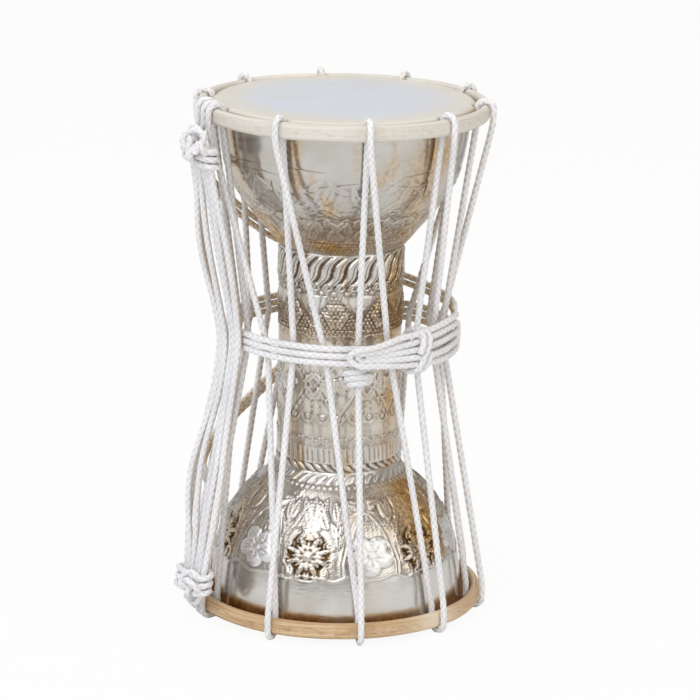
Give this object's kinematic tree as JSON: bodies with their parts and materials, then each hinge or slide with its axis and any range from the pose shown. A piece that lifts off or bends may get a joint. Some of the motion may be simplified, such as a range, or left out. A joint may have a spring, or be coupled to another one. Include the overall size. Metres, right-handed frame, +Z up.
{
  "type": "talking drum",
  "caption": "Hourglass talking drum: embossed metal shell, skin heads on cane hoops, and a cord laced from hoop to hoop that is squeezed at the waist to raise the pitch.",
  "frame": {"origin": "on the drum's axis, on the surface that the lower loops stand on", "axes": "+Z up along the drum's axis, -Y to the front where the tucked hank is right of the middle, +X to the right"},
  "size_m": [0.1638, 0.1576, 0.2741],
  "materials": {
    "shell_metal": "plated sheet, embossed, warm tarnish in the recesses",
    "upper_cane": "pale bleached cane",
    "lower_cane": "tan cane with long grain",
    "hide": "scraped goat hide, cream to white",
    "cord": "white braided cord"
  },
  "bodies": {
    "drum": {"upper_bowl": "shell_metal", "waist_tube": "shell_metal", "lower_bowl": "shell_metal", "upper_hoop": "upper_cane", "upper_skin": "hide", "lower_hoop": "lower_cane", "lower_skin": "hide", "upper_lace_loops": "cord", "lower_lace_loops": "cord", "waist_binding": "cord", "binding_hank": "cord", "binding_knot": "cord", "spare_hank": "cord", "upper_tie": "cord", "lower_tie": "cord", "upper_back_cord": "cord", "lower_back_cord": "cord"},
    "upper_lace_01": {"upper_laces_01": "cord"},
    "lower_lace_01": {"lower_laces_01": "cord"},
    "upper_lace_02": {"upper_laces_02": "cord"},
    "lower_lace_02": {"lower_laces_02": "cord"},
    "upper_lace_03": {"upper_laces_03": "cord"},
    "lower_lace_03": {"lower_laces_03": "cord"},
    "upper_lace_04": {"upper_laces_04": "cord"},
    "lower_lace_04": {"lower_laces_04": "cord"},
    "upper_lace_05": {"upper_laces_05": "cord"},
    "lower_lace_05": {"lower_laces_05": "cord"},
    "upper_lace_06": {"upper_laces_06": "cord"},
    "lower_lace_06": {"lower_laces_06": "cord"},
    "upper_lace_07": {"upper_laces_07": "cord"},
    "lower_lace_07": {"lower_laces_07": "cord"},
    "upper_lace_08": {"upper_laces_08": "cord"},
    "lower_lace_08": {"lower_laces_08": "cord"},
    "upper_lace_09": {"upper_laces_09": "cord"},
    "lower_lace_09": {"lower_laces_09": "cord"},
    "upper_lace_10": {"upper_laces_10": "cord"},
    "lower_lace_10": {"lower_laces_10": "cord"}
  },
  "joints": [
    {"name": "squeeze", "type": "hinge", "parent": "drum", "child": "upper_lace_01", "pos_m": [0.01266, -0.07179, 0.26627], "axis": [0.9063, 0.4226, 0], "range_deg": [0, 3.39], "stiffness_Nm_per_rad": 5, "deforming": ["waist_binding", "binding_hank", "binding_knot", "upper_back_cord", "lower_back_cord"]},
    {"name": "lower_swing_01", "type": "hinge", "parent": "drum", "child": "lower_lace_01", "pos_m": [0.01287, -0.07297, 0.00747], "axis": [0.9063, 0.4226, 0], "range_deg": [-2.59, 0]},
    {"name": "upper_swing_02", "type": "hinge", "parent": "drum", "child": "upper_lace_02", "pos_m": [0.05244, -0.05064, 0.26627], "axis": [0.9063, 0.4226, 0], "range_deg": [0, 2.95]},
    {"name": "lower_swing_02", "type": "hinge", "parent": "drum", "child": "lower_lace_02", "pos_m": [0.0533, -0.05147, 0.00747], "axis": [0.9063, 0.4226, 0], "range_deg": [-2.77, 0]},
    {"name": "upper_swing_03", "type": "hinge", "parent": "drum", "child": "upper_lace_03", "pos_m": [0.07219, -0.01015, 0.26627], "axis": [0.9063, 0.4226, 0], "range_deg": [0, 1.39]},
    {"name": "lower_swing_03", "type": "hinge", "parent": "drum", "child": "lower_lace_03", "pos_m": [0.07338, -0.01031, 0.00747], "axis": [0.9063, 0.4226, 0], "range_deg": [-1.89, 0]},
    {"name": "upper_swing_04", "type": "hinge", "parent": "drum", "child": "upper_lace_04", "pos_m": [0.06437, 0.03422, 0.26627], "axis": [0.9063, 0.4226, 0], "range_deg": [-0.71, 0]},
    {"name": "lower_swing_04", "type": "hinge", "parent": "drum", "child": "lower_lace_04", "pos_m": [0.06543, 0.03479, 0.00747], "axis": [0.9063, 0.4226, 0], "range_deg": [-0.297, 0]},
    {"name": "upper_swing_05", "type": "hinge", "parent": "drum", "child": "upper_lace_05", "pos_m": [0.03196, 0.06552, 0.26627], "axis": [0.9063, 0.4226, 0], "range_deg": [-2.54, 0]},
    {"name": "lower_swing_05", "type": "hinge", "parent": "drum", "child": "lower_lace_05", "pos_m": [0.03248, 0.0666, 0.00747], "axis": [0.9063, 0.4226, 0], "range_deg": [0, 1.42]},
    {"name": "upper_swing_06", "type": "hinge", "parent": "drum", "child": "upper_lace_06", "pos_m": [-0.01266, 0.07179, 0.26627], "axis": [0.9063, 0.4226, 0], "range_deg": [-3.39, 0]},
    {"name": "lower_swing_06", "type": "hinge", "parent": "drum", "child": "lower_lace_06", "pos_m": [-0.01287, 0.07297, 0.00747], "axis": [0.9063, 0.4226, 0], "range_deg": [0, 2.59]},
    {"name": "upper_swing_07", "type": "hinge", "parent": "drum", "child": "upper_lace_07", "pos_m": [-0.05244, 0.05064, 0.26627], "axis": [0.9063, 0.4226, 0], "range_deg": [-2.95, 0]},
    {"name": "lower_swing_07", "type": "hinge", "parent": "drum", "child": "lower_lace_07", "pos_m": [-0.0533, 0.05147, 0.00747], "axis": [0.9063, 0.4226, 0], "range_deg": [0, 2.77]},
    {"name": "upper_swing_08", "type": "hinge", "parent": "drum", "child": "upper_lace_08", "pos_m": [-0.07219, 0.01015, 0.26627], "axis": [0.9063, 0.4226, 0], "range_deg": [-1.39, 0]},
    {"name": "lower_swing_08", "type": "hinge", "parent": "drum", "child": "lower_lace_08", "pos_m": [-0.07338, 0.01031, 0.00747], "axis": [0.9063, 0.4226, 0], "range_deg": [0, 1.89]},
    {"name": "upper_swing_09", "type": "hinge", "parent": "drum", "child": "upper_lace_09", "pos_m": [-0.06437, -0.03422, 0.26627], "axis": [0.9063, 0.4226, 0], "range_deg": [0, 0.71]},
    {"name": "lower_swing_09", "type": "hinge", "parent": "drum", "child": "lower_lace_09", "pos_m": [-0.06543, -0.03479, 0.00747], "axis": [0.9063, 0.4226, 0], "range_deg": [0, 0.297]},
    {"name": "upper_swing_10", "type": "hinge", "parent": "drum", "child": "upper_lace_10", "pos_m": [-0.03196, -0.06552, 0.26627], "axis": [0.9063, 0.4226, 0], "range_deg": [0, 2.54]},
    {"name": "lower_swing_10", "type": "hinge", "parent": "drum", "child": "lower_lace_10", "pos_m": [-0.03248, -0.0666, 0.00747], "axis": [0.9063, 0.4226, 0], "range_deg": [-1.42, 0]}
  ],
  "couplings": [
    {"joint": "lower_swing_01", "follows": "squeeze", "ratio": -0.7623},
    {"joint": "upper_swing_02", "follows": "squeeze", "ratio": 0.8708},
    {"joint": "lower_swing_02", "follows": "squeeze", "ratio": -0.8162},
    {"joint": "upper_swing_03", "follows": "squeeze", "ratio": 0.409},
    {"joint": "lower_swing_03", "follows": "squeeze", "ratio": -0.5584},
    {"joint": "upper_swing_04", "follows": "squeeze", "ratio": -0.2091},
    {"joint": "lower_swing_04", "follows": "squeeze", "ratio": -0.0872},
    {"joint": "upper_swing_05", "follows": "squeeze", "ratio": -0.7472},
    {"joint": "lower_swing_05", "follows": "squeeze", "ratio": 0.4172},
    {"joint": "upper_swing_06", "follows": "squeeze", "ratio": -1},
    {"joint": "lower_swing_06", "follows": "squeeze", "ratio": 0.7623},
    {"joint": "upper_swing_07", "follows": "squeeze", "ratio": -0.8708},
    {"joint": "lower_swing_07", "follows": "squeeze", "ratio": 0.8162},
    {"joint": "upper_swing_08", "follows": "squeeze", "ratio": -0.409},
    {"joint": "lower_swing_08", "follows": "squeeze", "ratio": 0.5584},
    {"joint": "upper_swing_09", "follows": "squeeze", "ratio": 0.2091},
    {"joint": "lower_swing_09", "follows": "squeeze", "ratio": 0.0872},
    {"joint": "upper_swing_10", "follows": "squeeze", "ratio": 0.7472},
    {"joint": "lower_swing_10", "follows": "squeeze", "ratio": -0.4172}
  ]
}
